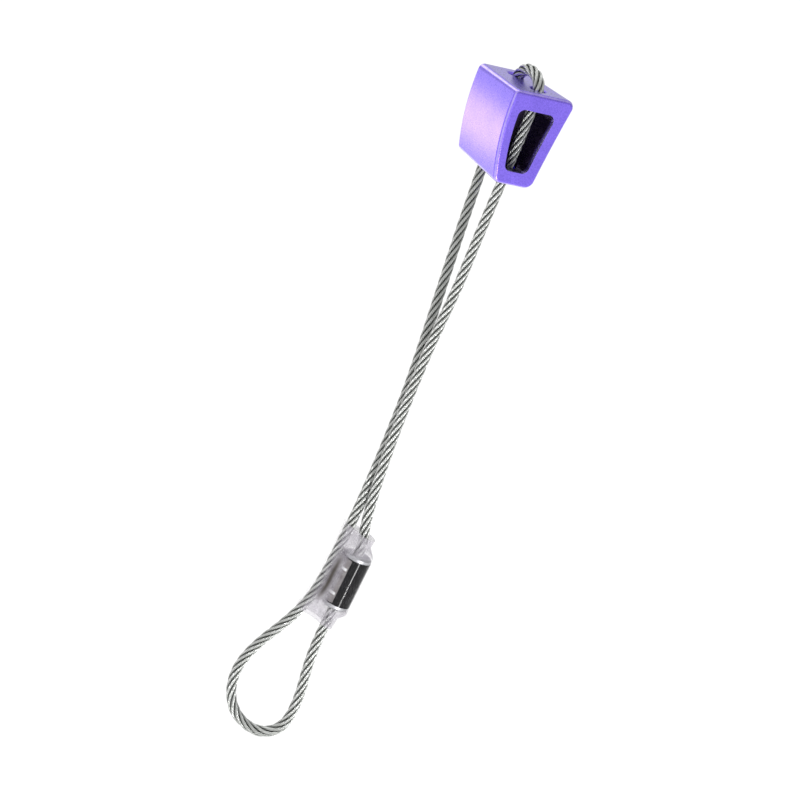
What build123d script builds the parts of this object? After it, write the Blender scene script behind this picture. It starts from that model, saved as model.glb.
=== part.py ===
from build123d import *
import math
import os

# A wired nut for rock climbing: a tapered, hollow aluminium chock threaded on a
# closed sling of steel wire rope.  Millimetres.  +Z runs up the sling, with the
# chock at the top.  The origin is the middle of the chock's top face, -Y is its
# wide end face, -X its bulging broad face and +X its dished one.

# Chock: outline of the wide end face, which the narrow end repeats smaller in X
# and a little shorter
HEAD_DEPTH = 28.6
TOP_LEFT = -11.25
TOP_RIGHT = 12.0
BOTTOM_LEFT = -7.5
BOTTOM_RIGHT = 6.7
WIDE_END_TOP = 0.9
WIDE_END_BOTTOM = -30.0
NARROW_END_TOP = 0.1
NARROW_END_BOTTOM = -29.0
LEFT_BULGE = 1.6
RIGHT_DISH = 0.3
NARROW_END = 0.84
WIDE_CORNER_RADII = (1.4, 2.6, 3.2, 2.6)
NARROW_CORNER_RADII = (2.4, 2.6, 3.2, 2.6)
EDGE_RADIUS = 1.1

# Window through the chock, from end face to end face
WINDOW_TOP = -4.9
WINDOW_BOTTOM = -25.4
WINDOW_TOP_LEFT = -7.7
WINDOW_TOP_RIGHT = 6.3
WINDOW_BOTTOM_LEFT = -5.4
WINDOW_BOTTOM_RIGHT = 2.9
WINDOW_BULGE = 0.7
WINDOW_DISH = 0.2
WINDOW_CORNER_RADII = (2.3, 2.3, 2.3, 2.3)
WINDOW_RIM_RADIUS = 0.6

# Cable holes through the top and the bottom wall
TOP_HOLES = ((0.5, -7.6), (0.3, 7.0))
TOP_HOLE_DIAMETER = 5.0
BOTTOM_HOLES = ((0.1, -7.0), (0.0, 6.7))
BOTTOM_HOLE_DIAMETER = 5.4
TOP_RIM_RADIUS = 1.0
COUNTERSINK = 0.7
CONE_OVERSHOOT = 0.5

# Wire rope
ROPE_DIAMETER = 3.2
ROPE_END_GAP = 1.0
FLEX_GAP = 1.0
UPPER_FLEX_Z = -62.0
LOWER_FLEX_Z = -192.6

# The clip-in loop and the ferrule lie in one upright plane, turned from XZ
LOOP_TURN = 33.0

# Swaged ferrule over the butted rope ends, and the printed band round it
FERRULE_DIAMETER = 9.1
FERRULE_LENGTH = 19.2
FERRULE_CHAMFER = 0.5
FERRULE_BORE = 3.24
FERRULE_MIDDLE = (1.1, -173.6)
FERRULE_TILT = 6.0
BAND_LENGTH = 16.2
BAND_WALL = 0.16

# Heat-shrink sleeve: at each height, the round side over the leg and the round
# side over the ferrule, each as a centre across the loop's plane and a radius
SLEEVE_WALL = 0.35
SLEEVE_STATIONS = [
    (-152.0, -3.9, 2.3, 1.7, 4.1),
    (-156.9, -4.2, 2.3, 1.6, 3.4),
    (-159.9, -4.4, 2.3, 1.7, 3.1),
    (-163.2, -4.8, 2.3, 2.1, 5.15),
    (-174.5, -6.1, 2.3, 1.05, 5.15),
    (-184.1, -8.2, 2.4, 0.05, 5.15),
    (-187.2, -9.5, 2.5, -0.5, 3.4),
    (-193.0, -12.6, 2.5, -1.0, 2.5),
]
SLEEVE_HOLLOW_OVERSHOOT = 2.0
SLEEVE_END_SLOPE = 0.33
SLEEVE_TOP_Z = -156.3
SLEEVE_BOTTOM_Z = -190.0

rope_radius = ROPE_DIAMETER / 2
half_depth = HEAD_DEPTH / 2


def loop_point(across, height):
    """A point in the clip-in loop's plane, given across it and in height."""
    turn = math.radians(LOOP_TURN)
    return Vector(across * math.cos(turn), -across * math.sin(turn), height)


def ferrule_point(along):
    """A point on the ferrule's axis, measured up from its middle."""
    tilt = math.radians(FERRULE_TILT)
    across, height = FERRULE_MIDDLE
    return loop_point(across + along * math.sin(tilt), height + along * math.cos(tilt))


def end_outline(y, corners, bulge, dish, radii):
    """A four-sided face in the plane of this Y: sides bowed, corners rounded.

    The corners run from the top left down, along the bottom and up the right.
    """
    shrink = 1 - (1 - NARROW_END) * (y + half_depth) / HEAD_DEPTH
    top_left, bottom_left, bottom_right, top_right = [
        Vector(x * shrink, z) for x, z in corners
    ]

    def bowed(start, end, bow):
        middle = (start + end) / 2 + Vector(bow * shrink, 0)
        return ThreePointArc(start, middle, end)

    sides = [
        bowed(top_left, bottom_left, -bulge),
        Line(bottom_left, bottom_right),
        bowed(bottom_right, top_right, -dish),
        Line(top_right, top_left),
    ]
    rounded = make_face(sides)
    for corner, radius in zip((top_left, bottom_left, bottom_right, top_right), radii):
        nearest = rounded.vertices().sort_by_distance(corner)[0]
        rounded = fillet(nearest, radius * shrink)
    return Plane(origin=(0, y, 0), x_dir=(1, 0, 0), z_dir=(0, -1, 0)) * rounded


def make_head():
    """The chock, with its window, its four cable holes and its soft edges."""

    def outer_corners(top, bottom):
        return [
            (TOP_LEFT, top),
            (BOTTOM_LEFT, bottom),
            (BOTTOM_RIGHT, bottom),
            (TOP_RIGHT, top),
        ]

    window_corners = [
        (WINDOW_TOP_LEFT, WINDOW_TOP),
        (WINDOW_BOTTOM_LEFT, WINDOW_BOTTOM),
        (WINDOW_BOTTOM_RIGHT, WINDOW_BOTTOM),
        (WINDOW_TOP_RIGHT, WINDOW_TOP),
    ]
    ends = [
        end_outline(y, outer_corners(top, bottom), LEFT_BULGE, RIGHT_DISH, radii)
        for y, top, bottom, radii in (
            (-half_depth, WIDE_END_TOP, WIDE_END_BOTTOM, WIDE_CORNER_RADII),
            (half_depth, NARROW_END_TOP, NARROW_END_BOTTOM, NARROW_CORNER_RADII),
        )
    ]
    head = loft(ends, ruled=True)
    end_faces = [head.faces().sort_by(Axis.Y)[0], head.faces().sort_by(Axis.Y)[-1]]
    head = fillet([edge for face in end_faces for edge in face.edges()], EDGE_RADIUS)

    reach = half_depth + 1
    openings = [
        end_outline(y, window_corners, WINDOW_BULGE, WINDOW_DISH, WINDOW_CORNER_RADII)
        for y in (-reach, reach)
    ]
    head -= loft(openings, ruled=True)
    for end_face in (head.faces().sort_by(Axis.Y)[0], head.faces().sort_by(Axis.Y)[-1]):
        head = fillet(end_face.inner_wires()[0].edges(), WINDOW_RIM_RADIUS)

    middle = (WINDOW_TOP + WINDOW_BOTTOM) / 2
    for x, y in TOP_HOLES:
        head -= Pos(x, y, middle / 2 + 1) * Cylinder(TOP_HOLE_DIAMETER / 2, 2 - middle)
    for x, y in BOTTOM_HOLES:
        share = (y + half_depth) / HEAD_DEPTH
        bottom = WIDE_END_BOTTOM + (NARROW_END_BOTTOM - WIDE_END_BOTTOM) * share
        drill = Cylinder(BOTTOM_HOLE_DIAMETER / 2, middle - bottom + 1)
        head -= Pos(x, y, (middle + bottom - 1) / 2) * drill
        sink = Cone(
            BOTTOM_HOLE_DIAMETER / 2 + COUNTERSINK + CONE_OVERSHOOT,
            BOTTOM_HOLE_DIAMETER / 2 - CONE_OVERSHOOT,
            COUNTERSINK + 2 * CONE_OVERSHOOT,
        )
        head -= Pos(x, y, bottom + COUNTERSINK / 2) * sink
    upward = [face for face in head.faces() if face.normal_at().Z > 0.9]
    top_face = max(upward, key=lambda face: (face.center().Z > middle, face.area))
    rims = top_face.inner_wires()
    return fillet([edge for rim in rims for edge in rim.edges()], TOP_RIM_RADIUS)


# The rope's route, from its end inside the ferrule up the front leg, over the
# chock, down the rear leg, past the ferrule, round the clip-in loop and back up
# into the ferrule to its other end
ROUTE = [
    ferrule_point(ROPE_END_GAP / 2),
    ferrule_point(12.0),
    Vector(0.6, -0.6, -154.6),
    Vector(-0.7, -0.7, -143.0),
    Vector(-1.4, -0.9, -126.0),
    Vector(-1.2, -1.2, -106.0),
    Vector(-0.6, -1.9, -88.0),
    Vector(0.0, -4.1, -69.0),
    Vector(-0.1, -5.2, -53.0),
    Vector(-0.1, -6.6, -36.0),
    Vector(0.2, -7.3, -24.0),
    Vector(0.8, -7.7, -10.0),
    Vector(1.0, -7.5, 4.4),
    Vector(0.1, 6.9, 4.4),
    Vector(0.0, 6.9, -22.0),
    Vector(0.1, 6.5, -38.0),
    Vector(-0.2, 5.5, -54.0),
    Vector(-0.3, 4.3, -70.0),
    Vector(-0.6, 2.6, -89.0),
    Vector(-0.4, 2.1, -107.0),
    Vector(-0.8, 2.4, -127.0),
    Vector(-1.8, 2.6, -142.0),
    loop_point(-3.9, -153.0),
    loop_point(-4.8, -163.5),
    loop_point(-6.0, -174.5),
    loop_point(-8.2, -184.5),
    loop_point(-13.3, -194.0),
    loop_point(-19.2, -204.3),
    loop_point(-22.6, -213.2),
    loop_point(-22.3, -221.5),
    loop_point(-18.8, -228.1),
    loop_point(-13.7, -231.2),
    loop_point(-8.5, -231.9),
    loop_point(-4.0, -229.7),
    loop_point(-1.2, -225.4),
    loop_point(-0.2, -216.0),
    loop_point(-1.4, -203.0),
    ferrule_point(-17.0),
    ferrule_point(-ROPE_END_GAP / 2),
]


def corner_radii(points):
    """The arc at each corner: 0.45 of the shorter run, over the half turn's tangent."""
    radii = []
    for before, corner, after in zip(points, points[1:], points[2:]):
        run_in = corner - before
        run_out = after - corner
        half_turn = math.radians(run_in.get_angle(run_out) / 2)
        shorter = min(run_in.length, run_out.length)
        radii.append(0.45 * shorter / math.tan(half_turn))
    return radii


def make_rope():
    """The whole rope as one round tube along its route."""
    radii = corner_radii(ROUTE)
    print("rope radii, mm:", [round(radius, 1) for radius in radii])
    path = FilletPolyline(*ROUTE, radius=radii)
    section = Plane(origin=path @ 0, z_dir=path % 0) * Circle(rope_radius)
    tube = sweep(section, path=path.wire())
    expected = math.pi * rope_radius**2 * path.length
    print("rope length, mm:", round(path.length, 1))
    print("rope volume over section times length:", round(tube.volume / expected, 4))
    return tube


def cut_rope(tube):
    """The rope parted where it flexes, so that each stretch rides on one body."""
    half_gap = FLEX_GAP / 2
    above = split(tube, Plane.XY.offset(UPPER_FLEX_Z + half_gap), keep=Keep.TOP)
    below = split(tube, Plane.XY.offset(LOWER_FLEX_Z - half_gap), keep=Keep.BOTTOM)
    between = split(tube, Plane.XY.offset(UPPER_FLEX_Z - half_gap), keep=Keep.BOTTOM)
    between = split(between, Plane.XY.offset(LOWER_FLEX_Z + half_gap), keep=Keep.TOP)
    tail, front_leg, rear_leg = between.solids().sort_by(SortBy.VOLUME)
    return {
        "wire_top_bight": above,
        "wire_front_leg": front_leg,
        "wire_rear_leg": rear_leg,
        "wire_ferrule_tail": tail,
        "wire_clip_loop": below,
    }


def ferrule_plane():
    """The plane across the ferrule at its middle, facing along its axis."""
    return Plane(origin=ferrule_point(0), z_dir=ferrule_point(1) - ferrule_point(0))


def make_ferrule():
    """The swaged barrel with its ends bevelled, bored for the rope."""
    barrel = Cylinder(FERRULE_DIAMETER / 2, FERRULE_LENGTH)
    barrel = chamfer(barrel.edges().filter_by(GeomType.CIRCLE), FERRULE_CHAMFER)
    barrel -= Cylinder(FERRULE_BORE / 2, FERRULE_LENGTH + 2)
    return ferrule_plane() * barrel


def make_band():
    """The thin printed band round the ferrule."""
    inner = FERRULE_DIAMETER / 2
    band = Cylinder(inner + BAND_WALL, BAND_LENGTH) - Cylinder(inner, BAND_LENGTH + 2)
    return ferrule_plane() * band


def sleeve_section(height, leg_across, leg_radius, barrel_across, barrel_radius):
    """The sleeve's outline at one height: a taut skin round two circles."""
    distance = barrel_across - leg_across
    lean = math.acos((leg_radius - barrel_radius) / distance)
    normal = Vector(math.cos(lean), math.sin(lean))
    mirrored = Vector(normal.X, -normal.Y)
    leg = Vector(leg_across, 0)
    barrel = Vector(barrel_across, 0)
    leg_arc = ThreePointArc(
        leg + mirrored * leg_radius,
        leg - Vector(leg_radius, 0),
        leg + normal * leg_radius,
    )
    barrel_arc = ThreePointArc(
        barrel + normal * barrel_radius,
        barrel + Vector(barrel_radius, 0),
        barrel + mirrored * barrel_radius,
    )
    skin = [
        leg_arc,
        Line(leg_arc @ 1, barrel_arc @ 0),
        barrel_arc,
        Line(barrel_arc @ 1, leg_arc @ 0),
    ]
    return Pos(0, 0, height) * Rot(0, 0, -LOOP_TURN) * make_face(skin)


def make_sleeve():
    """The heat-shrink sleeve: a thin skin, open at the top and the bottom."""
    outer = [sleeve_section(*station) for station in SLEEVE_STATIONS]
    hollow = [
        (height, leg, leg_r - SLEEVE_WALL, barrel, barrel_r - SLEEVE_WALL)
        for height, leg, leg_r, barrel, barrel_r in SLEEVE_STATIONS
    ]
    first = (hollow[0][0] + SLEEVE_HOLLOW_OVERSHOOT, *hollow[0][1:])
    last = (hollow[-1][0] - SLEEVE_HOLLOW_OVERSHOOT, *hollow[-1][1:])
    inner = [sleeve_section(*station) for station in [first, *hollow, last]]
    skin = loft(outer, ruled=True) - loft(inner, ruled=True)
    slope = loop_point(SLEEVE_END_SLOPE, 1.0)
    top = Plane(origin=(0, 0, SLEEVE_TOP_Z), z_dir=slope)
    bottom = Plane(origin=(0, 0, SLEEVE_BOTTOM_Z), z_dir=slope)
    skin = split(skin, top, keep=Keep.BOTTOM)
    return split(skin, bottom, keep=Keep.TOP)


pieces = {
    "head": make_head(),
    "ferrule": make_ferrule(),
    "ferrule_band": make_band(),
    "shrink_sleeve": make_sleeve(),
}
pieces.update(cut_rope(make_rope()))

os.makedirs("parts", exist_ok=True)
for name, piece in pieces.items():
    export_step(piece, f"parts/{name}.step")
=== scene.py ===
import math

import bpy
from mathutils import Matrix, Vector, noise


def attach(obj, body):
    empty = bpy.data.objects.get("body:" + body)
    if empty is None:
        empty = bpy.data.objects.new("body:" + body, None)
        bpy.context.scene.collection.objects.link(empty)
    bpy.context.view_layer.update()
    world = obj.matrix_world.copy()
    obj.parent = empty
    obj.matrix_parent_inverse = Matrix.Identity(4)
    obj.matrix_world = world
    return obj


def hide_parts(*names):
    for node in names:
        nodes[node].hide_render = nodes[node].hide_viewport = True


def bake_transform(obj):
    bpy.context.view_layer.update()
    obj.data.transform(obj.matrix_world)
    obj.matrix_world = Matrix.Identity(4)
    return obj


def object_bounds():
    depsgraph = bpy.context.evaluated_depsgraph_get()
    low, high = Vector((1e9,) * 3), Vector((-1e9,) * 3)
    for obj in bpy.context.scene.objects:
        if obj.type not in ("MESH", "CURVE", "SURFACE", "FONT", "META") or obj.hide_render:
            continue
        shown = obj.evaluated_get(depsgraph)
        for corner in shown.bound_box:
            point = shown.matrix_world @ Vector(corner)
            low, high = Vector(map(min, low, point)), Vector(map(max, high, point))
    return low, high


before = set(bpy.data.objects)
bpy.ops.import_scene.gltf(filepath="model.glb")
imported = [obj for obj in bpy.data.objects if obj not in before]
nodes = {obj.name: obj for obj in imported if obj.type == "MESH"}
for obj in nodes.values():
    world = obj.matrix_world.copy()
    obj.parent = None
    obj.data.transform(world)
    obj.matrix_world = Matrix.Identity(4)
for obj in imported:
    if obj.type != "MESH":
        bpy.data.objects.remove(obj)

# A wired climbing nut: a violet anodised chock on a closed sling of steel wire
# rope, whose ends meet in a ferrule held beside the rope by a clear sleeve.
# Metres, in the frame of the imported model: +Z up the sling, origin in the middle
# of the chock's top face.

MM = 0.001
cad_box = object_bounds()

# Rope: seven strands of seven wires, right-hand lay
# The strands stand a little proud of that, as the lay opens in use
ROPE_RADIUS = 1.7 * MM
STRAND_RADIUS = ROPE_RADIUS / 3
WIRE_RADIUS = STRAND_RADIUS / 3
ROPE_LAY = 22.7 * MM
STRAND_LAY = -8.4 * MM
OUTER_STRANDS = 6
OUTER_WIRES = 6
POINTS_PER_WIRE = 5
# How far from its crown each wire's outline starts
WIRE_HALF_SWEEP = math.radians(118)
RING_STEP = 0.62 * MM
# The strands spread by this share where the rope bends to this radius, and less
# in wider bends; a bend is measured over this many rings to either side
BEND_SPREAD = 0.14
TIGHT_BEND = 8.0 * MM
BEND_REACH = 4
SPLINE_RESOLUTION = 60

# The clip-in loop's plane and the ferrule, as in the CAD model, with a gap between
# the rope's two ends inside it
LOOP_TURN = math.radians(33.0)
FERRULE_MIDDLE = (1.1 * MM, -173.6 * MM)
FERRULE_TILT = math.radians(6.0)
FERRULE_RADIUS = 4.55 * MM
FERRULE_LENGTH = 19.2 * MM
BAND_WALL = 0.16 * MM
ROPE_END_GAP = 1.0 * MM


def loop_point(across, height):
    """A point in the clip-in loop's plane, in millimetres across and in height."""
    return Vector((across * math.cos(LOOP_TURN), -across * math.sin(LOOP_TURN), height)) * MM


def ferrule_point(along):
    """A point on the ferrule's axis, in millimetres up from its middle."""
    across, height = FERRULE_MIDDLE
    return loop_point(
        across / MM + along * math.sin(FERRULE_TILT),
        height / MM + along * math.cos(FERRULE_TILT),
    )


def leg_point(x, y, z):
    """A point of the rope's legs, in millimetres."""
    return Vector((x, y, z)) * MM


# ---------------------------------------------------------------- camera

CAMERA_AZIMUTH = math.radians(-33.2)
CAMERA_ELEVATION = math.radians(14.7)
CAMERA_ROLL = math.radians(20.1)
CAMERA_DISTANCE = 2.0
CAMERA_LENS = 285.3
CAMERA_AIM = Vector((-17.2, -21.4, -103.9)) * MM


def make_camera():
    """A long lens, aimed at the sling from a little above and rolled to one side."""
    back = Vector((
        math.sin(CAMERA_AZIMUTH) * math.cos(CAMERA_ELEVATION),
        -math.cos(CAMERA_AZIMUTH) * math.cos(CAMERA_ELEVATION),
        math.sin(CAMERA_ELEVATION),
    ))
    level = Vector((math.cos(CAMERA_AZIMUTH), math.sin(CAMERA_AZIMUTH), 0))
    upright = back.cross(level)
    right = level * math.cos(CAMERA_ROLL) + upright * math.sin(CAMERA_ROLL)
    up = back.cross(right)
    data = bpy.data.cameras.new("camera")
    data.lens = CAMERA_LENS
    data.clip_start = 0.01
    data.clip_end = 50
    camera = bpy.data.objects.new("camera", data)
    place = Matrix((right, up, back)).transposed().to_4x4()
    place.translation = CAMERA_AIM + back * CAMERA_DISTANCE
    camera.matrix_world = place
    bpy.context.scene.collection.objects.link(camera)
    bpy.context.scene.camera = camera


make_camera()

# ---------------------------------------------------------------- rope

# The route, from the rope's end inside the ferrule up the front leg, over the
# chock, down the rear leg, past the ferrule, round the clip-in loop and back up
# into the ferrule
ROUTE = [
    ferrule_point(ROPE_END_GAP / MM / 2),
    ferrule_point(12.0),
    leg_point(0.35, -0.7, -154.6),
    leg_point(-0.7, -0.7, -143.0),
    leg_point(-1.4, -0.9, -126.0),
    leg_point(-1.2, -1.2, -106.0),
    leg_point(-0.6, -1.9, -88.0),
    leg_point(0.0, -4.1, -69.0),
    leg_point(-0.1, -5.2, -53.0),
    leg_point(-0.1, -6.6, -36.0),
    leg_point(0.2, -7.3, -24.0),
    leg_point(0.8, -7.7, -10.0),
    leg_point(1.0, -7.5, 4.4),
    leg_point(0.1, 6.9, 4.4),
    leg_point(0.0, 6.9, -22.0),
    leg_point(0.1, 6.5, -38.0),
    leg_point(-0.2, 5.5, -54.0),
    leg_point(-0.3, 4.3, -70.0),
    leg_point(-0.6, 2.6, -89.0),
    leg_point(-0.4, 2.1, -107.0),
    leg_point(-0.8, 2.4, -127.0),
    leg_point(-1.6, 2.6, -142.0),
    loop_point(-3.55, -153.0),
    loop_point(-4.8, -163.5),
    loop_point(-6.0, -174.5),
    loop_point(-8.2, -184.5),
    loop_point(-12.9, -194.2),
    loop_point(-19.2, -204.3),
    loop_point(-22.6, -213.2),
    loop_point(-22.3, -221.5),
    loop_point(-18.8, -228.1),
    loop_point(-13.7, -231.2),
    loop_point(-8.5, -231.9),
    loop_point(-4.0, -229.7),
    loop_point(-1.2, -225.4),
    loop_point(-0.2, -216.0),
    loop_point(-1.4, -203.0),
    ferrule_point(-17.0),
    ferrule_point(-ROPE_END_GAP / MM / 2),
]
# The sling and the clip-in loop are separate pieces that meet beside the ferrule.
# The place is looked for up to this share of the rope, before it turns back up
PARTING_HEIGHT = -174.0 * MM
PARTING_LIMIT = 0.85


def smooth_line(points):
    """The points along the NURBS curve that has these control points."""
    curve = bpy.data.curves.new("route", "CURVE")
    curve.dimensions = "3D"
    curve.resolution_u = SPLINE_RESOLUTION
    spline = curve.splines.new("NURBS")
    spline.points.add(len(points) - 1)
    for place, point in zip(spline.points, points):
        place.co = (*point, 1)
    spline.order_u = 3
    spline.use_endpoint_u = True
    holder = bpy.data.objects.new("route", curve)
    bpy.context.scene.collection.objects.link(holder)
    bpy.context.view_layer.update()
    mesh = bpy.data.meshes.new_from_object(holder)
    line = [vertex.co.copy() for vertex in mesh.vertices]
    bpy.data.objects.remove(holder)
    bpy.data.curves.remove(curve)
    bpy.data.meshes.remove(mesh)
    return line


def even_line(line, step):
    """The same line with its points about one step apart."""
    reach = [0.0]
    for before, after in zip(line, line[1:]):
        reach.append(reach[-1] + (after - before).length)
    count = round(reach[-1] / step)
    points = []
    index = 0
    for number in range(count + 1):
        target = reach[-1] * number / count
        while index < len(reach) - 2 and reach[index + 1] < target:
            index += 1
        span = max(reach[index + 1] - reach[index], 1e-12)
        share = (target - reach[index]) / span
        points.append(line[index].lerp(line[index + 1], share))
    return points, reach[-1] / count


def carried_frames(points):
    """At each point, two normals carried along the line without twist."""
    tangents = []
    for number in range(len(points)):
        before = points[max(number - 1, 0)]
        after = points[min(number + 1, len(points) - 1)]
        tangents.append((after - before).normalized())
    normal = tangents[0].orthogonal().normalized()
    frames = []
    for number, tangent in enumerate(tangents):
        if number:
            turn = tangents[number - 1].rotation_difference(tangent)
            normal = turn @ normal
        normal = (normal - tangent * normal.dot(tangent)).normalized()
        frames.append((tangent, normal, tangent.cross(normal)))
    return frames


def make_mesh(name, vertices, faces, smooth=True):
    """A new piece in the scene with these vertices and faces."""
    mesh = bpy.data.meshes.new(name)
    mesh.from_pydata(vertices, [], faces)
    mesh.validate()
    mesh.polygons.foreach_set("use_smooth", [smooth] * len(mesh.polygons))
    mesh.update()
    piece = bpy.data.objects.new(name, mesh)
    bpy.context.scene.collection.objects.link(piece)
    return piece


def tube_faces(first, rings, around):
    """Quads between rings of vertices, with one flat face to cap each end."""
    faces = []
    for ring in range(rings - 1):
        for corner in range(around):
            after = (corner + 1) % around
            low = first + ring * around
            high = low + around
            faces.append((low + corner, low + after, high + after, high + corner))
    faces.append(tuple(first + corner for corner in reversed(range(around))))
    last = first + (rings - 1) * around
    faces.append(tuple(last + corner for corner in range(around)))
    return faces


def strand_outline():
    """A strand's section: six round wires in a ring, seen from outside."""
    ring = 2 * WIRE_RADIUS
    outline = []
    for wire in range(OUTER_WIRES):
        middle = 2 * math.pi * wire / OUTER_WIRES
        for number in range(POINTS_PER_WIRE):
            share = number / POINTS_PER_WIRE - 0.5
            swing = middle + share * 2 * WIRE_HALF_SWEEP
            x = ring * math.cos(middle) + WIRE_RADIUS * math.cos(swing)
            y = ring * math.sin(middle) + WIRE_RADIUS * math.sin(swing)
            outline.append((math.hypot(x, y), math.atan2(y, x)))
    return outline


def bend_spread(frames):
    """How much the strands spread at each ring, from 1 where the rope is straight."""
    shares = []
    for number in range(len(frames)):
        low = max(number - BEND_REACH, 0)
        high = min(number + BEND_REACH, len(frames) - 1)
        bend = frames[low][0].angle(frames[high][0]) / ((high - low) * rope_step)
        shares.append(min(max(2 * bend * TIGHT_BEND - 1, 0.0), 1.0))
    return [1 + BEND_SPREAD * share for share in shares]


def make_rope(name, points, frames, first, last):
    """The strands of one stretch of the rope, as closed fluted tubes."""
    outline = strand_outline()
    around = len(outline)
    vertices = []
    depths = []
    faces = []
    spread = bend_spread(frames)
    for strand in range(OUTER_STRANDS + 1):
        core = strand == OUTER_STRANDS
        start = len(vertices)
        for ring in range(first, last + 1):
            tangent, normal, side = frames[ring]
            run = ring * rope_step
            turn = 2 * math.pi * (run / ROPE_LAY + strand / OUTER_STRANDS)
            # A right-hand lay turns with the tangent as a right-hand screw does
            outward = normal * math.cos(turn) + side * math.sin(turn)
            along = side * math.cos(turn) - normal * math.sin(turn)
            offset = 0.0 if core else 2 * STRAND_RADIUS * spread[ring]
            middle = points[ring] + outward * offset
            lead = tangent + along * (2 * math.pi * offset / ROPE_LAY)
            lead.normalize()
            across = lead.cross(outward)
            spin = 2 * math.pi * run / STRAND_LAY
            for radius, angle in outline:
                swing = angle + spin
                place = outward * (radius * math.cos(swing)) + across * (radius * math.sin(swing))
                place = place * spread[ring]
                vertices.append(middle + place)
                # The reach from the rope's middle, kept for the painted shade in the grooves
                reach = (middle + place - points[ring]).length
                depths.append(reach / ROPE_RADIUS / spread[ring])
        faces += tube_faces(start, last - first + 1, around)
    piece = make_mesh(name, vertices, faces)
    attribute = piece.data.attributes.new("reach", "FLOAT", "POINT")
    attribute.data.foreach_set("value", depths)
    return piece


rope_points, rope_step = even_line(smooth_line(ROUTE), RING_STEP)
rope_frames = carried_frames(rope_points)
parting = min(
    range(len(rope_points) // 2, int(len(rope_points) * PARTING_LIMIT) + 1),
    key=lambda number: abs(rope_points[number].z - PARTING_HEIGHT),
)
sling = make_rope("wire_rope_sling", rope_points, rope_frames, 0, parting)
clip_loop = make_rope("wire_rope_loop", rope_points, rope_frames, parting, len(rope_points) - 1)

# ---------------------------------------------------------------- sleeve

# Heat-shrink sleeve, in millimetres: height, then across and radius of the skin
# round the leg, then across and radius of the skin round the ferrule
SLEEVE_STATIONS = [
    (-151.0, -3.8, 2.25, 1.8, 4.4),
    (-155.5, -4.1, 2.2, 1.7, 3.9),
    (-160.0, -4.4, 2.2, 1.8, 3.2),
    (-163.6, -4.8, 2.2, 2.1, 4.9),
    (-174.5, -6.1, 2.2, 1.05, 5.0),
    (-183.7, -8.2, 2.3, 0.05, 4.95),
    (-186.4, -9.2, 2.35, -0.4, 3.0),
    (-193.5, -12.8, 2.4, -1.0, 2.15),
]
# Between two stations this share of the change is eased and the rest is straight
STATION_EASE = 0.6
# How steeply the cut ends slope, and the share of that slope left at mid-length
SLEEVE_END_SLOPE = 0.29
SLEEVE_MIDDLE_SLOPE = 0.35
SLEEVE_TOP = -156.5
SLEEVE_BOTTOM = -190.3
SLEEVE_WALL = 0.28
SLEEVE_RINGS = 90
SLEEVE_ARC_POINTS = 22
SLEEVE_SIDE_POINTS = 20
# The web between leg and ferrule draws up by this much over the last stretch
WEB_RISE = 0.4
WEB_START = 0.82
WEB_RUN = 0.18
# The film's waviness, and how fine it is
SLEEVE_RIPPLE = 0.05
RIPPLE_SCALE = 0.45
# Painted shade on the fold between the leg and the ferrule: its share of the way across and its
# half-width in millimetres
CREASE_PLACE = 0.28
CREASE_WIDTH = 1.2
# How hazy the film is: on the leg, where it stands free beside the ferrule, past
# the ferrule's ends, and there on the leg
LEG_HAZE = 0.12
FREE_HAZE = 0.75
END_HAZE = 0.8
END_LEG_HAZE = 0.15
# The haze past the ferrule begins this far inside its end and is full after this
HAZE_LEAD = 0.6 * MM
HAZE_RUN = 1.6 * MM


def station_values(height):
    """The sleeve's section at a height, eased between its stations."""
    if height >= SLEEVE_STATIONS[0][0]:
        return SLEEVE_STATIONS[0][1:]
    for above, below in zip(SLEEVE_STATIONS, SLEEVE_STATIONS[1:]):
        if height >= below[0]:
            share = (above[0] - height) / (above[0] - below[0])
            eased = share * share * (3 - 2 * share)
            share = eased * STATION_EASE + share * (1 - STATION_EASE)
            return tuple(a + (b - a) * share for a, b in zip(above[1:], below[1:]))
    return SLEEVE_STATIONS[-1][1:]


def free_side(start, end, side):
    """The flat film from one arc to the other, on the side given as 1 or -1."""
    points = []
    for number in range(SLEEVE_SIDE_POINTS):
        share = number / SLEEVE_SIDE_POINTS
        lift = math.sin(math.pi * share)
        x = start[0] + (end[0] - start[0]) * share
        y = start[1] + (end[1] - start[1]) * share
        points.append((x, side * y, lift, LEG_HAZE + (1 - LEG_HAZE) * lift))
    return points


def sleeve_ring(middle, slope, web, inset):
    """Points round the sleeve on a sloping cut: across, depth, height, and how far
    the film stands free of what it covers there."""
    leg_across, leg_radius = station_values(middle - slope * station_values(middle)[0])[:2]
    barrel_across, barrel_radius = station_values(middle - slope * station_values(middle)[2])[2:]
    leg_radius -= inset
    barrel_radius -= inset
    lean = math.acos((leg_radius - barrel_radius) / (barrel_across - leg_across))
    leg_arc = []
    barrel_arc = []
    for number in range(SLEEVE_ARC_POINTS):
        angle = 2 * math.pi - lean - (2 * math.pi - 2 * lean) * number / SLEEVE_ARC_POINTS
        x = leg_across + leg_radius * math.cos(angle)
        leg_arc.append((x, leg_radius * math.sin(angle), 0.0, LEG_HAZE))
        angle = lean - 2 * lean * number / SLEEVE_ARC_POINTS
        x = barrel_across + barrel_radius * math.cos(angle)
        barrel_arc.append((x, barrel_radius * math.sin(angle), 0.0, 0.0))
    leg_edge = (leg_across + leg_radius * math.cos(lean), leg_radius * math.sin(lean))
    barrel_edge = (barrel_across + barrel_radius * math.cos(lean), barrel_radius * math.sin(lean))
    ring = leg_arc + free_side(leg_edge, barrel_edge, 1)
    ring += barrel_arc + free_side(barrel_edge, leg_edge, -1)
    return [(x, y, middle - slope * x + web * lift, free) for x, y, lift, free in ring]


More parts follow.
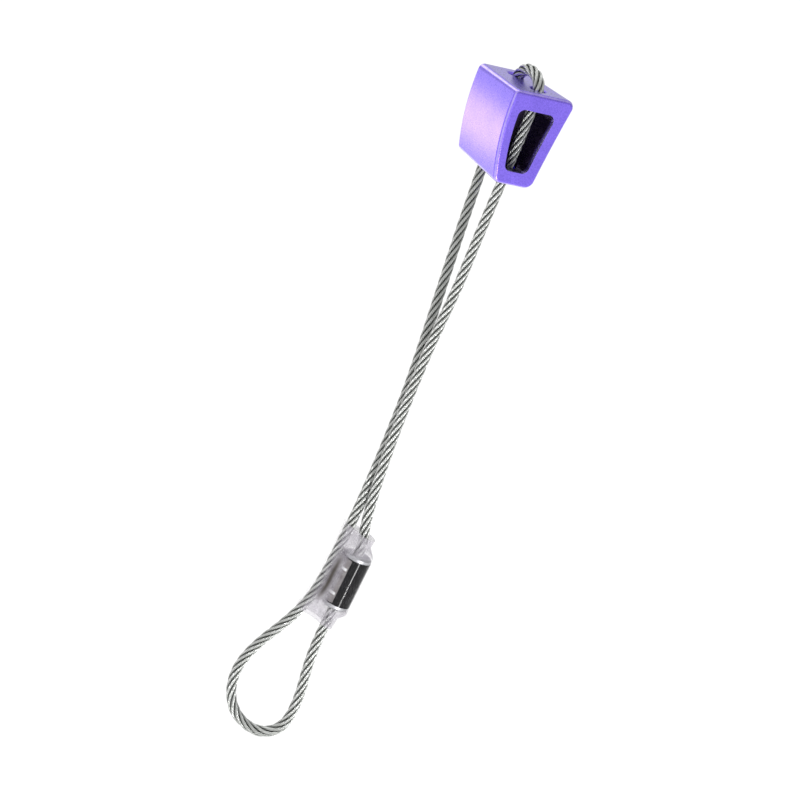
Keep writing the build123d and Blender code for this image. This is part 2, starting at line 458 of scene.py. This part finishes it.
def sleeve_rows():
    """The sleeve's rings, down its outside and back up its inside."""
    rows = []
    shares = [number / SLEEVE_RINGS for number in range(SLEEVE_RINGS + 1)]
    for inset, order in ((0.0, shares), (SLEEVE_WALL, shares[::-1])):
        for share in order:
            middle = SLEEVE_TOP + (SLEEVE_BOTTOM - SLEEVE_TOP) * share
            steep = abs(2 * share - 1) ** 3
            slope = SLEEVE_END_SLOPE * (SLEEVE_MIDDLE_SLOPE + (1 - SLEEVE_MIDDLE_SLOPE) * steep)
            web = WEB_RISE * max(0.0, (share - WEB_START) / WEB_RUN) ** 2
            rows.append(sleeve_ring(middle, slope, web, inset))
    return rows


def crease_shade(across, height):
    """How deep in the fold's painted shade a point of the sleeve lies, from 0 to 1."""
    leg, _, barrel, _ = station_values(height)
    from_middle = abs(height * MM - FERRULE_MIDDLE[1]) / (FERRULE_LENGTH / 2)
    beside = 1.0 - min(from_middle, 1.0) ** 4
    off_fold = (across - leg - CREASE_PLACE * (barrel - leg)) / CREASE_WIDTH
    return beside * math.exp(-(off_fold**2))


def film_haze(height, free):
    """How hazy the film is at a height, where it stands this free of what it covers."""
    past_end = abs(height * MM - FERRULE_MIDDLE[1]) - FERRULE_LENGTH / 2
    past_end = min(max((past_end + HAZE_LEAD) / HAZE_RUN, 0.0), 1.0)
    at_end = END_LEG_HAZE if free == LEG_HAZE else END_HAZE
    return max(free * FREE_HAZE, past_end * at_end)


def make_sleeve():
    """The sleeve as one closed skin: out, over the rim and back inside."""
    rows = sleeve_rows()
    outward = Vector((math.sin(LOOP_TURN), math.cos(LOOP_TURN), 0))
    vertices = []
    haze = []
    painted_crease_shade = []
    for row in rows:
        for across, depth, height, free in row:
            painted_crease_shade.append(crease_shade(across, height))
            haze.append(film_haze(height, free))
            ripple = noise.noise(Vector((across, depth, height)) * RIPPLE_SCALE) * SLEEVE_RIPPLE
            swell = depth + ripple * (1 if depth > 0 else -1)
            vertices.append(loop_point(across, height) + outward * (swell * MM))
    around = len(rows[0])
    faces = []
    for ring in range(len(rows)):
        following = (ring + 1) % len(rows)
        for corner in range(around):
            after = (corner + 1) % around
            low = ring * around
            high = following * around
            faces.append((low + corner, high + corner, high + after, low + after))
    film = make_mesh("shrink_sleeve_film", vertices, faces)
    for field, values in (("haze", haze), ("painted_crease_shade", painted_crease_shade)):
        attribute = film.data.attributes.new(field, "FLOAT", "POINT")
        attribute.data.foreach_set("value", values)
    return film


sleeve = make_sleeve()

# ---------------------------------------------------------------- printed panel

# A grey panel on the black band, with two plain stripes; heights along the
# ferrule's axis are in millimetres from its middle
PANEL_WALL = 0.02 * MM
PANEL_SINK = 0.01 * MM
PANEL_FACING = math.radians(-125.5)
PANEL_HALF_TURN = math.radians(21.5)
PANEL_LOW = -7.7
PANEL_HIGH = 7.8
STRIPE_HALF_TURN = math.radians(16.5)
STRIPE_HEIGHT = 0.9
STRIPE_LOWS = (-5.0, 3.8)
PATCH_STEPS = 24
PATCH_ROWS = 12


def band_patch(name, low, high, half_turn, lift):
    """A thin curved patch on the band, between two heights, centred on the panel."""
    axis = (ferrule_point(1) - ferrule_point(0)).normalized()
    across = loop_point(1, 0).normalized()
    across = (across - axis * across.dot(axis)).normalized()
    side = axis.cross(across)
    start = PANEL_FACING - half_turn
    end = PANEL_FACING + half_turn
    surface = FERRULE_RADIUS + BAND_WALL
    vertices = []
    for radius in (surface + lift, surface - PANEL_SINK):
        for row in range(PATCH_ROWS + 1):
            along = low + (high - low) * row / PATCH_ROWS
            for number in range(PATCH_STEPS + 1):
                angle = start + (end - start) * number / PATCH_STEPS
                spoke = across * math.cos(angle) + side * math.sin(angle)
                vertices.append(ferrule_point(along) + spoke * radius)
    wide = PATCH_STEPS + 1
    layer = wide * (PATCH_ROWS + 1)
    faces = []
    for row in range(PATCH_ROWS):
        for number in range(PATCH_STEPS):
            a = row * wide + number
            faces.append((a, a + 1, a + 1 + wide, a + wide))
            faces.append((layer + a, layer + a + wide, layer + a + 1 + wide, layer + a + 1))
    rim = list(range(wide))
    rim += [row * wide + PATCH_STEPS for row in range(1, PATCH_ROWS + 1)]
    rim += [PATCH_ROWS * wide + number for number in range(PATCH_STEPS - 1, -1, -1)]
    rim += [row * wide for row in range(PATCH_ROWS - 1, 0, -1)]
    for here, there in zip(rim, rim[1:] + rim[:1]):
        faces.append((there, here, layer + here, layer + there))
    return make_mesh(name, vertices, faces)


panel = band_patch("band_panel", PANEL_LOW, PANEL_HIGH, PANEL_HALF_TURN, PANEL_WALL)
stripes = [
    band_patch(f"band_stripe_{number}", low, low + STRIPE_HEIGHT, STRIPE_HALF_TURN, PANEL_WALL * 2)
    for number, low in enumerate(STRIPE_LOWS, start=1)
]

# ---------------------------------------------------------------- materials

# Noise seldom leaves this range
LOW_NOISE = 0.3
HIGH_NOISE = 0.7

# The chock's anodising, its fine speckle, its rubbed edges with a painted highlight on them and on the
# window's rim, and the painted shade inside the window
VIOLETS = [(LOW_NOISE, (0.205, 0.125, 0.80)), (HIGH_NOISE, (0.245, 0.150, 0.90))]
VIOLET_SPECKLE = [(0.35, (0.76, 0.74, 0.84)), (0.62, (1.0, 1.0, 1.0))]
RUBBED_AND_HIGHLIGHT_VIOLET = (0.66, 0.55, 0.98)
PAINTED_SHADE_VIOLET = (0.020, 0.004, 0.055)
EDGE_WEAR_AND_HIGHLIGHT = 0.6
# Wire colours by distance from the rope's middle, as a share of its radius: painted shade, dark down
# in the grooves
WIRE_GREYS_AND_GROOVE_SHADE = [(0.66, (0.035, 0.037, 0.036)), (0.84, (0.25, 0.26, 0.25)), (0.96, (0.58, 0.59, 0.58))]
WIRE_DULLING = [(LOW_NOISE, (0.80, 0.80, 0.78)), (HIGH_NOISE, (1.0, 1.0, 1.0))]
# Dulls the wires' reflections where they are seen edge on
WIRE_SHEEN = (0.4, 0.41, 0.4, 1)
# How much rougher the band's ink is where it has been wiped
INK_WIPES = 0.1
FERRULE_GREYS = [(LOW_NOISE, (0.36, 0.36, 0.38)), (HIGH_NOISE, (0.54, 0.54, 0.56))]
# The clear film's own colour
MILK = [(LOW_NOISE, (0.42, 0.39, 0.45)), (HIGH_NOISE, (0.62, 0.60, 0.64))]
# Painted shade for the fold between the leg and the ferrule
PAINTED_FOLD_SHADE = (0.06, 0.052, 0.045)
# How much the film hides: where it clings and where it is haziest, seen edge on, and in the fold,
# where the film is made dark and opaque as painted shade
MILK_COVER = (0.008, 0.38)
EDGE_COVER = 0.4
FOLD_COVER = 0.72
FLOOR_WHITES = [(LOW_NOISE, (0.95, 0.95, 0.95)), (HIGH_NOISE, (0.97, 0.97, 0.97))]

# The chock's window in the chock's own space: its sides lean in downwards, and it
# narrows to this share from the wide end face to the narrow one
END_FACE = 14.3 * MM
WINDOW_NARROWING = 0.84
WINDOW_TOP = -4.6 * MM
WINDOW_BOTTOM = -25.7 * MM
TAPER_TOP = -4.9 * MM
TAPER_BOTTOM = -25.4 * MM
LEFT_SIDE = (-6.6 * MM, -8.6 * MM)
RIGHT_SIDE = (3.4 * MM, 6.8 * MM)
# Inside the mouth, distances from mid-depth: the painted shade fades in over this stretch, and the
# pale rim, a painted highlight, lies between these
SHADE_STARTS = 13.6 * MM
SHADE_FULL = 12.2 * MM
RIM_INNER = (13.4 * MM, 13.8 * MM)
RIM_OUTER = (14.28 * MM, 14.18 * MM)
# A surface is an edge where no axis faces it squarely; the cable holes' walls,
# nearer the middle than this, are left out
EDGE_FACING = (0.92, 0.80)
PAST_HOLES_X = 5.2 * MM
PAST_HOLES_Y = 11.8 * MM


def new_material(name):
    """A new material, with its node tree and its shader."""
    material = bpy.data.materials.new(name)
    material.use_nodes = True
    tree = material.node_tree
    return material, tree, tree.nodes["Principled BSDF"]


def colour_ramp(tree, source, stops):
    """A colour that follows the source through these (place, colour) stops."""
    ramp = tree.nodes.new("ShaderNodeValToRGB")
    ramp.color_ramp.elements[0].position = stops[0][0]
    ramp.color_ramp.elements[0].color = (*stops[0][1], 1)
    ramp.color_ramp.elements[1].position = stops[-1][0]
    ramp.color_ramp.elements[1].color = (*stops[-1][1], 1)
    for place, colour in stops[1:-1]:
        element = ramp.color_ramp.elements.new(place)
        element.color = (*colour, 1)
    tree.links.new(source, ramp.inputs["Fac"])
    return ramp.outputs["Color"]


def map_range(tree, source, low, high, to_low, to_high, smooth=False):
    """The source's range from low to high, spread over another range and clamped."""
    node = tree.nodes.new("ShaderNodeMapRange")
    node.interpolation_type = "SMOOTHSTEP" if smooth else "LINEAR"
    node.inputs["From Min"].default_value = low
    node.inputs["From Max"].default_value = high
    node.inputs["To Min"].default_value = to_low
    node.inputs["To Max"].default_value = to_high
    tree.links.new(source, node.inputs["Value"])
    return node.outputs["Result"]


def calculate(tree, operation, first, second):
    """One operation on two values, each a number or another node's output."""
    node = tree.nodes.new("ShaderNodeMath")
    node.operation = operation
    for socket, value in zip(node.inputs, (first, second)):
        if isinstance(value, (int, float)):
            socket.default_value = value
        else:
            tree.links.new(value, socket)
    return node.outputs["Value"]


def noise_field(tree, scale, detail, stretch=(1, 1, 1)):
    """Noise in the object's own space, with this many features to the metre."""
    place = tree.nodes.new("ShaderNodeTexCoord")
    mapping = tree.nodes.new("ShaderNodeMapping")
    mapping.inputs["Scale"].default_value = stretch
    tree.links.new(place.outputs["Object"], mapping.inputs["Vector"])
    texture = tree.nodes.new("ShaderNodeTexNoise")
    texture.inputs["Scale"].default_value = scale
    texture.inputs["Detail"].default_value = detail
    tree.links.new(mapping.outputs["Vector"], texture.inputs["Vector"])
    return texture.outputs["Fac"]


def add_bump(tree, shader, height, distance, strength):
    """Small relief from a height field, this many metres deep."""
    bump = tree.nodes.new("ShaderNodeBump")
    bump.inputs["Distance"].default_value = distance
    bump.inputs["Strength"].default_value = strength
    tree.links.new(height, bump.inputs["Height"])
    tree.links.new(bump.outputs["Normal"], shader.inputs["Normal"])


def mix_colours(tree, share, first, second, blend="MIX"):
    """The first colour mixed with this share of the second."""
    node = tree.nodes.new("ShaderNodeMix")
    node.data_type = "RGBA"
    node.blend_type = blend
    sockets = [socket for socket in node.inputs if socket.type == "RGBA"]
    for socket, value in zip(sockets, (first, second)):
        if isinstance(value, tuple):
            socket.default_value = (*value, 1)
        else:
            tree.links.new(value, socket)
    if isinstance(share, (int, float)):
        node.inputs["Factor"].default_value = share
    else:
        tree.links.new(share, node.inputs["Factor"])
    return [socket for socket in node.outputs if socket.type == "RGBA"][0]


def split_vector(tree, vector):
    """The X, Y and Z of a vector output."""
    split = tree.nodes.new("ShaderNodeSeparateXYZ")
    tree.links.new(vector, split.inputs["Vector"])
    return [split.outputs[name] for name in "XYZ"]


def window_places(tree):
    """Masks for the chock's window: painted shade on its inside, and a painted highlight on the rim at
    each mouth.
    """
    place = tree.nodes.new("ShaderNodeTexCoord")
    x, y, z = split_vector(tree, place.outputs["Object"])
    wide = calculate(tree, "DIVIDE", x, map_range(tree, y, -END_FACE, END_FACE, 1.0, WINDOW_NARROWING))
    taper = map_range(tree, z, TAPER_BOTTOM, TAPER_TOP, 0.0, 1.0)
    left = map_range(tree, taper, 0.0, 1.0, *LEFT_SIDE)
    right = map_range(tree, taper, 0.0, 1.0, *RIGHT_SIDE)
    inside = calculate(tree, "GREATER_THAN", wide, left)
    inside = calculate(tree, "MULTIPLY", inside, calculate(tree, "LESS_THAN", wide, right))
    inside = calculate(tree, "MULTIPLY", inside, calculate(tree, "LESS_THAN", z, WINDOW_TOP))
    inside = calculate(tree, "MULTIPLY", inside, calculate(tree, "GREATER_THAN", z, WINDOW_BOTTOM))
    reach = calculate(tree, "ABSOLUTE", y, 0.0)
    deep = map_range(tree, reach, SHADE_STARTS, SHADE_FULL, 0.0, 1.0, smooth=True)
    rim = map_range(tree, reach, *RIM_INNER, 0.0, 1.0)
    rim = calculate(tree, "MULTIPLY", rim, map_range(tree, reach, *RIM_OUTER, 0.0, 1.0))
    return calculate(tree, "MULTIPLY", inside, deep), calculate(tree, "MULTIPLY", inside, rim)


def edge_wear_and_highlight(tree):
    """A mask along the chock's rounded outer edges, painted pale as a highlight and as rubbed finish.
    """
    place = tree.nodes.new("ShaderNodeTexCoord")
    facing = split_vector(tree, place.outputs["Normal"])
    flat = [calculate(tree, "ABSOLUTE", part, 0.0) for part in facing]
    flattest = calculate(tree, "MAXIMUM", calculate(tree, "MAXIMUM", flat[0], flat[1]), flat[2])
    edge = map_range(tree, flattest, *EDGE_FACING, 0.0, 1.0, smooth=True)
    x, y, _ = split_vector(tree, place.outputs["Object"])
    past_x = calculate(tree, "GREATER_THAN", calculate(tree, "ABSOLUTE", x, 0.0), PAST_HOLES_X)
    past_y = calculate(tree, "GREATER_THAN", calculate(tree, "ABSOLUTE", y, 0.0), PAST_HOLES_Y)
    return calculate(tree, "MULTIPLY", edge, calculate(tree, "MAXIMUM", past_x, past_y))


def anodised_aluminium():
    """Violet anodising over a bead-blasted surface."""
    material, tree, shader = new_material("anodised_aluminium")
    patches = colour_ramp(tree, noise_field(tree, scale=160, detail=3.0), VIOLETS)
    grain = noise_field(tree, scale=1900, detail=4.0)
    speckle = colour_ramp(tree, grain, VIOLET_SPECKLE)
    colour = mix_colours(tree, 1.0, patches, speckle, "MULTIPLY")
    # Masks for the window's painted shade and for the painted highlight on its rim
    dark, rim = window_places(tree)
    wear_and_highlight = calculate(tree, "MAXIMUM", rim, calculate(tree, "MULTIPLY", edge_wear_and_highlight(tree), EDGE_WEAR_AND_HIGHLIGHT))
    rubs = noise_field(tree, scale=700, detail=3.0)
    rubbed = map_range(tree, rubs, LOW_NOISE, 0.6, to_low=0.55, to_high=1.0)
    wear_and_highlight = calculate(tree, "MULTIPLY", wear_and_highlight, rubbed)
    # Painted highlight on the edges and the window's rim, with rubbed wear on the edges
    colour = mix_colours(tree, wear_and_highlight, colour, RUBBED_AND_HIGHLIGHT_VIOLET)
    # Painted shade: the window's inside is darkened almost to black
    colour = mix_colours(tree, dark, colour, PAINTED_SHADE_VIOLET)
    tree.links.new(colour, shader.inputs["Base Color"])
    shader.inputs["Metallic"].default_value = 1.0
    rough = map_range(tree, grain, LOW_NOISE, HIGH_NOISE, to_low=0.25, to_high=0.34)
    tree.links.new(rough, shader.inputs["Roughness"])
    # The coat fades inside the window, so that its painted shade stays dark
    tree.links.new(map_range(tree, dark, 0.0, 1.0, 1.0, 0.1), shader.inputs["Coat Weight"])
    shader.inputs["Coat Roughness"].default_value = 0.3
    add_bump(tree, shader, grain, distance=0.07 * MM, strength=0.4)
    return material


def wire_steel():
    """Galvanised wires, with painted shade darkening them down into the grooves."""
    material, tree, shader = new_material("wire_steel")
    attribute = tree.nodes.new("ShaderNodeAttribute")
    attribute.attribute_name = "reach"
    # Painted shade: the wires darken as they reach in towards the rope's middle
    painted_groove_shade = colour_ramp(tree, attribute.outputs["Fac"], WIRE_GREYS_AND_GROOVE_SHADE)
    grey = colour_ramp(tree, noise_field(tree, scale=420, detail=4.0), WIRE_DULLING)
    tree.links.new(mix_colours(tree, 1.0, painted_groove_shade, grey, "MULTIPLY"), shader.inputs["Base Color"])
    shader.inputs["Metallic"].default_value = 1.0
    shader.inputs["Specular Tint"].default_value = WIRE_SHEEN
    spots = noise_field(tree, scale=2600, detail=2.0)
    rough = map_range(tree, spots, LOW_NOISE, HIGH_NOISE, to_low=0.24, to_high=0.42)
    tree.links.new(rough, shader.inputs["Roughness"])
    add_bump(tree, shader, spots, distance=0.02 * MM, strength=0.25)
    return material


def bare_ferrule():
    """Drawn metal with fine rings from the swaging die."""
    material, tree, shader = new_material("ferrule_metal")
    streaks = noise_field(tree, scale=900, detail=3.0, stretch=(1, 1, 8))
    tree.links.new(colour_ramp(tree, streaks, FERRULE_GREYS), shader.inputs["Base Color"])
    shader.inputs["Metallic"].default_value = 1.0
    rough = map_range(tree, streaks, LOW_NOISE, HIGH_NOISE, to_low=0.42, to_high=0.55)
    tree.links.new(rough, shader.inputs["Roughness"])
    add_bump(tree, shader, streaks, distance=0.03 * MM, strength=0.3)
    return material


def printed_ink(name, dark, light, rough, gloss):
    """Ink or film on the band, with faint scuffs."""
    material, tree, shader = new_material(name)
    scuffs = noise_field(tree, scale=700, detail=4.0)
    shades = colour_ramp(tree, scuffs, [(0.35, dark), (HIGH_NOISE, light)])
    tree.links.new(shades, shader.inputs["Base Color"])
    wipes = noise_field(tree, scale=1500, detail=3.0)
    wiped = map_range(tree, wipes, LOW_NOISE, HIGH_NOISE, to_low=rough, to_high=rough + INK_WIPES)
    tree.links.new(wiped, shader.inputs["Roughness"])
    shader.inputs["Specular IOR Level"].default_value = gloss
    add_bump(tree, shader, scuffs, distance=0.03 * MM, strength=0.12)
    return material


def clear_film():
    """Clear heat-shrink: invisible where it clings, milky where it stands free."""
    material, tree, shader = new_material("clear_film")
    cloud = noise_field(tree, scale=330, detail=3.0)
    haze = tree.nodes.new("ShaderNodeAttribute")
    haze.attribute_name = "haze"
    fold = tree.nodes.new("ShaderNodeAttribute")
    fold.attribute_name = "painted_crease_shade"
    # Painted shade: the film turns dark in the fold between leg and ferrule
    shade = mix_colours(tree, fold.outputs["Fac"], colour_ramp(tree, cloud, MILK), PAINTED_FOLD_SHADE)
    tree.links.new(shade, shader.inputs["Base Color"])
    facing = tree.nodes.new("ShaderNodeLayerWeight")
    facing.inputs["Blend"].default_value = 0.3
    milk = map_range(tree, haze.outputs["Fac"], 0.0, 1.0, *MILK_COVER)
    uneven = map_range(tree, cloud, LOW_NOISE, 0.75, to_low=0.6, to_high=1.5)
    milk = calculate(tree, "MULTIPLY", milk, uneven)
    # The film shows most where it is seen edge on
    edge = map_range(tree, facing.outputs["Facing"], 0.45, 0.97, 0.0, EDGE_COVER)
    # The film turns opaque in the fold, so that its painted shade hides what lies behind
    pocket = calculate(tree, "MULTIPLY", fold.outputs["Fac"], FOLD_COVER)
    cover = calculate(tree, "ADD", calculate(tree, "ADD", milk, edge), pocket)
    tree.links.new(cover, shader.inputs["Alpha"])
    rough = map_range(tree, cloud, LOW_NOISE, HIGH_NOISE, to_low=0.1, to_high=0.2)
    tree.links.new(rough, shader.inputs["Roughness"])
    shader.inputs["Specular IOR Level"].default_value = 0.18
    add_bump(tree, shader, cloud, distance=0.2 * MM, strength=0.25)
    return material


def wear(piece, material):
    """Gives a piece this one material."""
    piece.data.materials.clear()
    piece.data.materials.append(material)


steel = wire_steel()
wear(sling, steel)
wear(clip_loop, steel)
wear(sleeve, clear_film())
wear(panel, printed_ink("grey_print", (0.17, 0.155, 0.16), (0.24, 0.225, 0.23), rough=0.3, gloss=0.1))
white_print = printed_ink("white_print", (0.62, 0.62, 0.64), (0.78, 0.78, 0.8), rough=0.35, gloss=0.1)
for stripe in stripes:
    wear(stripe, white_print)
wear(nodes["head"], anodised_aluminium())
wear(nodes["ferrule"], bare_ferrule())
black_film = printed_ink(
    "black_film", (0.0015, 0.0015, 0.002), (0.003, 0.003, 0.004), rough=0.09, gloss=0.24
)
wear(nodes["ferrule_band"], black_film)

# ---------------------------------------------------------------- what moves with what

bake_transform(sling)
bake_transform(clip_loop)
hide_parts("wire_top_bight", "wire_front_leg", "wire_rear_leg")
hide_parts("wire_clip_loop", "wire_ferrule_tail")
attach(sleeve, "sling_foot")
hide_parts("shrink_sleeve")
for print_piece in [panel, *stripes]:
    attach(print_piece, "sling_foot")


# ---------------------------------------------------------------- floor and light

FLOOR_DROP = 0.2
FLOOR_SIZE = 16.0
# The room's light falls off from the chock's bright broad face to the other side
ROOM_LIGHT = (0.95, 0.6)
SUN_POWER = 1.15
SUN_SPREAD = math.radians(70)
SUN_TURN = (math.radians(-20), math.radians(-12), 0)
# The side panel's warm tint, which turns the violet towards pink
SHEEN_COLOUR = (1.0, 0.86, 0.92)
CHOCK_MIDDLE = (0, 0, -15 * MM)


def make_floor():
    """A plain white floor below the hanging sling."""
    height = cad_box[0][2] - FLOOR_DROP
    side = FLOOR_SIZE / 2
    corners = [(x, y, height) for x, y in ((-side, -side), (side, -side), (side, side), (-side, side))]
    floor = make_mesh("floor", corners, [(0, 1, 2, 3)], smooth=False)
    material, tree, shader = new_material("floor_white")
    shade = colour_ramp(tree, noise_field(tree, scale=0.6, detail=2.0), FLOOR_WHITES)
    tree.links.new(shade, shader.inputs["Base Color"])
    shader.inputs["Roughness"].default_value = 0.9
    shader.inputs["Specular IOR Level"].default_value = 0.1
    wear(floor, material)


def add_softbox(name, way, reach, target, size, power, colour=(1, 1, 1)):
    """A soft panel that faces the target from this direction and this far off."""
    data = bpy.data.lights.new(name, "AREA")
    data.color = colour
    data.shape = "RECTANGLE"
    data.size, data.size_y = size
    data.energy = power
    light = bpy.data.objects.new(name, data)
    way = Vector(way).normalized()
    light.location = Vector(target) + way * reach
    light.rotation_euler = way.to_track_quat("Z", "Y").to_euler()
    light.visible_camera = False
    bpy.context.scene.collection.objects.link(light)


def make_light():
    """A pale room, a wide soft sun overhead, and three panels for the highlights."""
    world = bpy.data.worlds.new("studio")
    world.use_nodes = True
    tree = world.node_tree
    place = tree.nodes.new("ShaderNodeTexCoord")
    across = split_vector(tree, place.outputs["Generated"])[0]
    strength = map_range(tree, across, -1.0, 1.0, *ROOM_LIGHT)
    tree.links.new(strength, tree.nodes["Background"].inputs["Strength"])
    tree.nodes["Background"].inputs["Color"].default_value = (1, 1, 1, 1)
    bpy.context.scene.world = world

    sun = bpy.data.lights.new("overhead", "SUN")
    sun.energy = SUN_POWER
    sun.angle = SUN_SPREAD
    overhead = bpy.data.objects.new("overhead", sun)
    overhead.rotation_euler = SUN_TURN
    bpy.context.scene.collection.objects.link(overhead)

    add_softbox(
        "side_sheen",
        way=(-0.46, 0.81, -0.32),
        reach=0.8,
        target=CHOCK_MIDDLE,
        size=(0.4, 0.15),
        power=0.48,
        colour=SHEEN_COLOUR,
    )
    # Catches the edge between the chock's top and its bright broad face
    add_softbox(
        "rim_light",
        way=(-0.24, 0.81, 0.52),
        reach=1.0,
        target=CHOCK_MIDDLE,
        size=(0.4, 0.4),
        power=0.6,
    )
    # Draws the bright line down the black band
    add_softbox(
        "streak",
        way=(0.02, -0.97, -0.25),
        reach=0.35,
        target=ferrule_point(0),
        size=(0.026, 0.2),
        power=0.7,
    )


make_floor()
make_light()
bpy.context.scene.view_settings.view_transform = "Standard"
